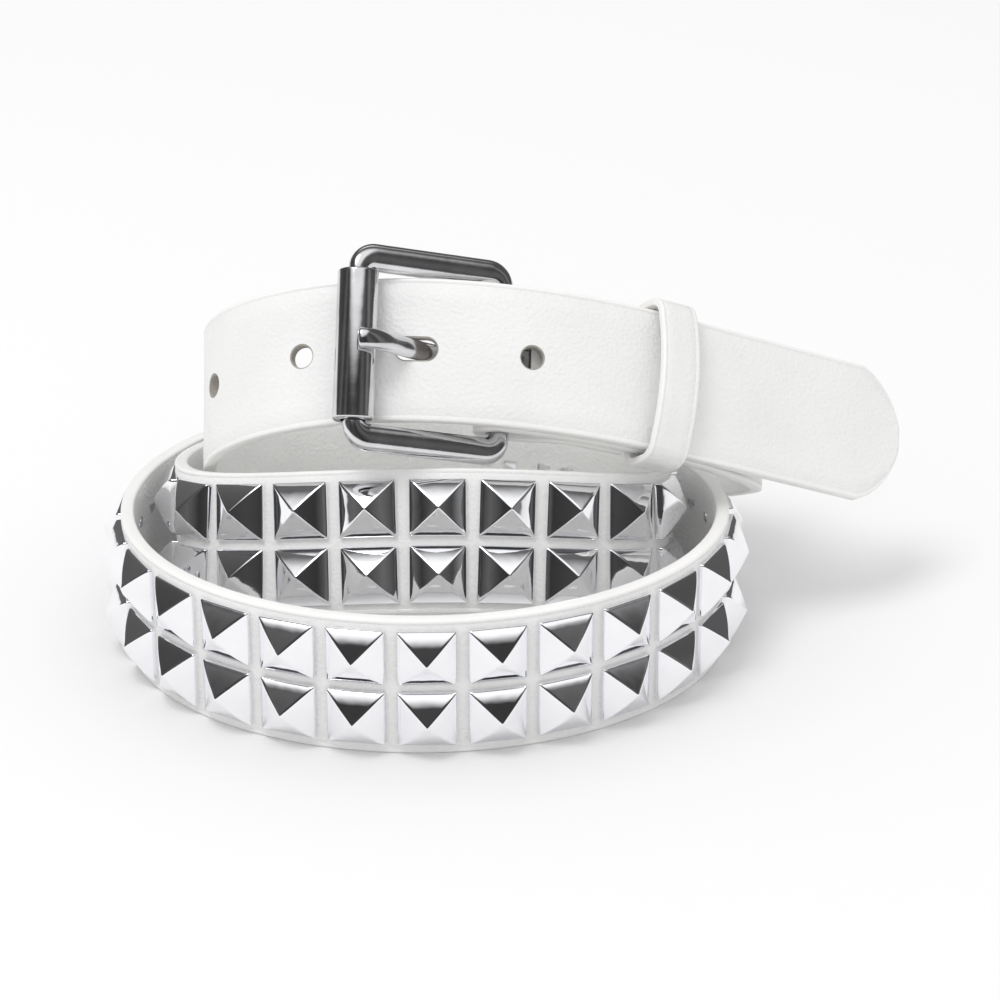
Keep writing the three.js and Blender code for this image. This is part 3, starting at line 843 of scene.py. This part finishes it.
def add_frame():
    inside_half = STRAP_WIDTH / 2 + FRAME_SIDE_ROOM
    inner_corner = 1.2
    outside_half = inside_half + SIDE_BAR_WIDTH
    steps = (10, 12)
    outer = rounded_loop(-BAR_RADIUS, FRAME_REACH + BAR_RADIUS, outside_half, FRAME_CORNER, *steps)
    inner = rounded_loop(BAR_RADIUS, FRAME_REACH - BAR_RADIUS, inside_half, inner_corner, *steps)
    rings = []
    for (ox, oy, _, _), (ix, iy, _, _) in zip(outer, inner):
        half = math.hypot(ox - ix, oy - iy) / 2
        outline = oval_section(half, BAR_RADIUS, 2.25, OVAL_STEPS)
        rings.append([BUCKLE.at(lerp(ix, ox, 0.5 + w / half / 2), lerp(iy, oy, 0.5 + w / half / 2), t)
                      for w, t in outline])
    add_piece("frame_steel", new_mesh("frame_steel", loft(rings, closed=True)),
              [BUCKLE_CHROME], "buckle_frame", 50)


def add_roller():
    """A tube of rolled sheet: its seam is a fine groove on the strap's side."""
    half = STRAP_WIDTH / 2 + FRAME_SIDE_ROOM - CLEARANCE
    bore = ROLLER_BORE / 2
    wall_edge = 0.55
    end_steps = 5
    side = [(ROLLER_RADIUS - wall_edge * (1 - math.sin(math.pi / 2 * i / end_steps)),
             half - wall_edge * (1 - math.cos(math.pi / 2 * i / end_steps))) for i in range(end_steps + 1)]
    profile = [(bore, -half)] + [(radius, -y) for radius, y in side] + side[::-1] + [(bore, half)]
    seam_degrees, seam_half, seam_floor, seam_depth = 205, 3, 1, 0.3
    seam = {seam_degrees + d for d in (-seam_half, -seam_floor, seam_floor, seam_half)}
    axis = BUCKLE.moved(along=FRAME_REACH)
    rings = []
    for degrees in sorted({*range(0, 360, 6), *seam}):
        angle = math.radians(degrees)
        dip = seam_depth if abs(degrees - seam_degrees) <= seam_floor else 0
        radii = [(r - dip if r > bore else r, y) for r, y in profile]
        rings.append([axis.at(r * math.cos(angle), y, r * math.sin(angle)) for r, y in radii])
    add_piece("roller_steel", new_mesh("roller_steel", loft(rings, closed=True)),
              [BUCKLE_CHROME], "buckle_roller", 50)


def add_prong():
    course = prong_curl() + prong_arm()
    end_sizes = (0.3, 0.66, 0.86, 0.97)
    rings = []
    for i, place in enumerate(course):
        before, after = course[max(0, i - 1)], course[min(len(course) - 1, i + 1)]
        heading = Vector((after[0] - before[0], after[1] - before[1])).normalized()
        along = TIP_MIDDLE.along * heading.x + TIP_MIDDLE.out * heading.y
        spot = Place(TIP_MIDDLE.at(along=place[0], out=place[1]), along, TIP_MIDDLE.wide)
        from_end = len(course) - 1 - i
        size = end_sizes[from_end] if from_end < len(end_sizes) else 1
        outline = oval_section(size * PRONG_WIDTH / 2, size * PRONG_THICKNESS / 2, 2.3, OVAL_STEPS)
        rings.append([spot.at(wide=w, out=t) for w, t in outline])
    add_piece("prong_steel", new_mesh("prong_steel", loft(rings)),
              [BUCKLE_CHROME], "buckle_prong", 50)


def add_rivet():
    shank = RIVET_SHANK_DIAMETER / 2
    head = RIVET_HEAD_DIAMETER / 2
    upper = STRAP_THICKNESS / 2 - RIVET_POCKET + CLEARANCE
    lower = -LAYER_PITCH - STRAP_THICKNESS / 2 - RIVET_PLAY
    dome = ((0.05, 1), (0.35, 0.96), (0.65, 0.82), (0.87, 0.6), (0.97, 0.35), (1, 0.12))
    rim = head * 0.97
    rows = [(head * r, lower - RIVET_HEAD_THICKNESS * h) for r, h in dome]
    rows += [(rim, lower), (shank, lower), (shank, upper), (rim, upper)]
    rows += [(head * r, upper + RIVET_HEAD_THICKNESS * h) for r, h in reversed(dome)]
    add_piece("rivet_steel", new_mesh("rivet_steel", lathe_out(RIVET, rows, 32)),
              [BUCKLE_CHROME], "fold_rivet", 50)


# The studio
def add_camera():
    elevation = math.radians(25)
    distance = 0.8
    lowered = 0.0025
    target = Vector((0.016, 0, 0.033)) + Vector((SHIFT.x, SHIFT.y, 0))
    forward = Vector((0, math.cos(elevation), -math.sin(elevation)))
    up = Vector((0, math.sin(elevation), math.cos(elevation)))
    data = bpy.data.cameras.new("camera")
    data.sensor_width = 36
    data.lens = 126.7
    data.clip_start = 0.01
    data.clip_end = 100
    camera = bpy.data.objects.new("camera", data)
    camera.location = target - forward * distance - up * lowered
    camera.rotation_euler = (math.pi / 2 - elevation, 0, 0)
    bpy.context.scene.collection.objects.link(camera)
    bpy.context.scene.camera = camera


def add_floor():
    material, _, _, surface = new_material("floor")
    surface.inputs["Base Color"].default_value = (0.82, 0.82, 0.82, 1)
    surface.inputs["Roughness"].default_value = 0.9
    surface.inputs["Specular IOR Level"].default_value = 0
    half = 12
    mesh = bpy.data.meshes.new("floor")
    corners = [(-half, -half, 0), (half, -half, 0), (half, half, 0), (-half, half, 0)]
    mesh.from_pydata(corners, [], [(0, 1, 2, 3)])
    mesh.materials.append(material)
    floor = bpy.data.objects.new("floor", mesh)
    bpy.context.scene.collection.objects.link(floor)
    floor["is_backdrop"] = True


def add_light(name, place, size, power):
    data = bpy.data.lights.new(name, "AREA")
    data.shape = "DISK"
    data.size = size
    data.energy = power
    light = bpy.data.objects.new(name, data)
    light.location = place
    light.rotation_euler = (-Vector(place)).to_track_quat("-Z", "Y").to_euler()
    bpy.context.scene.collection.objects.link(light)


def set_ramp(ramp, rows):
    elements = ramp.color_ramp.elements
    while len(elements) > 1:
        elements.remove(elements[-1])
    elements[0].position, value = rows[0]
    elements[0].color = (value, value, value, 1)
    for position, value in rows[1:]:
        elements.new(position).color = (value, value, value, 1)


def add_step(nodes, links, value, low, high):
    """0 below low and 1 above high, or the other way round where low is the larger."""
    step = nodes.new("ShaderNodeMapRange")
    step.interpolation_type = "SMOOTHSTEP"
    step.inputs["From Min"].default_value = min(low, high)
    step.inputs["From Max"].default_value = max(low, high)
    step.inputs["To Min"].default_value = 0 if low < high else 1
    step.inputs["To Max"].default_value = 1 if low < high else 0
    links.new(value, step.inputs["Value"])
    return step.outputs["Result"]


def add_math(nodes, links, operation, *values):
    node = nodes.new("ShaderNodeMath")
    node.operation = operation
    for socket, value in zip(node.inputs, values):
        if isinstance(value, bpy.types.NodeSocket):
            links.new(value, socket)
        else:
            socket.default_value = value
    return node.outputs["Value"]


# Tones of the dark room once round the object, from the front by the left, the rear and the right
ROOM_STRIPS = [
    (0, 0.05), (0.1, 0.03), (0.14, 0.1), (0.18, 0.03), (0.22, 0.12), (0.26, 0.05), (0.4, 0.12),
    (0.6, 0.1), (0.73, 0.07), (0.77, 0.2), (0.8, 0.05), (0.85, 0.12), (0.9, 0.03), (1, 0.05)]


def add_world():
    """Even white light for matt surfaces; polished ones mirror a softbox overhead and a dark room."""
    world = bpy.data.worlds.new("studio")
    bpy.context.scene.world = world
    world.use_nodes = True
    nodes, links = world.node_tree.nodes, world.node_tree.links
    nodes.clear()
    direction = nodes.new("ShaderNodeTexCoord").outputs["Generated"]
    axes = nodes.new("ShaderNodeSeparateXYZ")
    links.new(direction, axes.inputs["Vector"])
    x, y, z = axes.outputs["X"], axes.outputs["Y"], axes.outputs["Z"]
    high = add_step(nodes, links, z, 0.62, 0.8)
    across = add_step(nodes, links, add_math(nodes, links, "ABSOLUTE", x), 0.8, 0.5)
    front = add_step(nodes, links, y, 0.32, -0.1)
    back = add_step(nodes, links, y, 0.4, 0.6)
    between = 0.12
    halves = add_math(nodes, links, "MAXIMUM", front, back)
    boxes = add_math(nodes, links, "MAXIMUM", halves, between)
    overhead = add_math(nodes, links, "MULTIPLY", high, across)
    softbox = add_math(nodes, links, "MULTIPLY", overhead, boxes)
    turn = add_math(nodes, links, "ARCTAN2", x, y)
    strips = nodes.new("ShaderNodeValToRGB")
    set_ramp(strips, ROOM_STRIPS)
    links.new(add_math(nodes, links, "MULTIPLY_ADD", turn, 0.5 / math.pi, 0.5), strips.inputs["Fac"])
    shade = add_math(nodes, links, "MAXIMUM", softbox, strips.outputs["Color"])
    mirror = nodes.new("ShaderNodeBackground")
    links.new(shade, mirror.inputs["Color"])
    mirror.inputs["Strength"].default_value = 1.1
    matt = nodes.new("ShaderNodeBackground")
    matt.inputs["Color"].default_value = (1, 1, 1, 1)
    matt.inputs["Strength"].default_value = 0.95
    path = nodes.new("ShaderNodeLightPath")
    choice = nodes.new("ShaderNodeMixShader")
    links.new(path.outputs["Is Glossy Ray"], choice.inputs["Fac"])
    links.new(matt.outputs["Background"], choice.inputs[1])
    links.new(mirror.outputs["Background"], choice.inputs[2])
    output = nodes.new("ShaderNodeOutputWorld")
    links.new(choice.outputs["Shader"], output.inputs["Surface"])


def main():
    add_camera()
    add_strap()
    add_studs()
    add_stud_backs()
    add_keeper()
    add_frame()
    add_roller()
    add_prong()
    add_rivet()
    add_floor()
    add_light("key", (-0.6, -0.5, 1.9), 0.9, 13)
    add_world()
    scene = bpy.context.scene
    scene.view_settings.view_transform = "Standard"
    boxes = {"cad": CAD_BOX, "visual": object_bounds()}
    sizes = {name: [list(corner) for corner in box] for name, box in boxes.items()}


main()
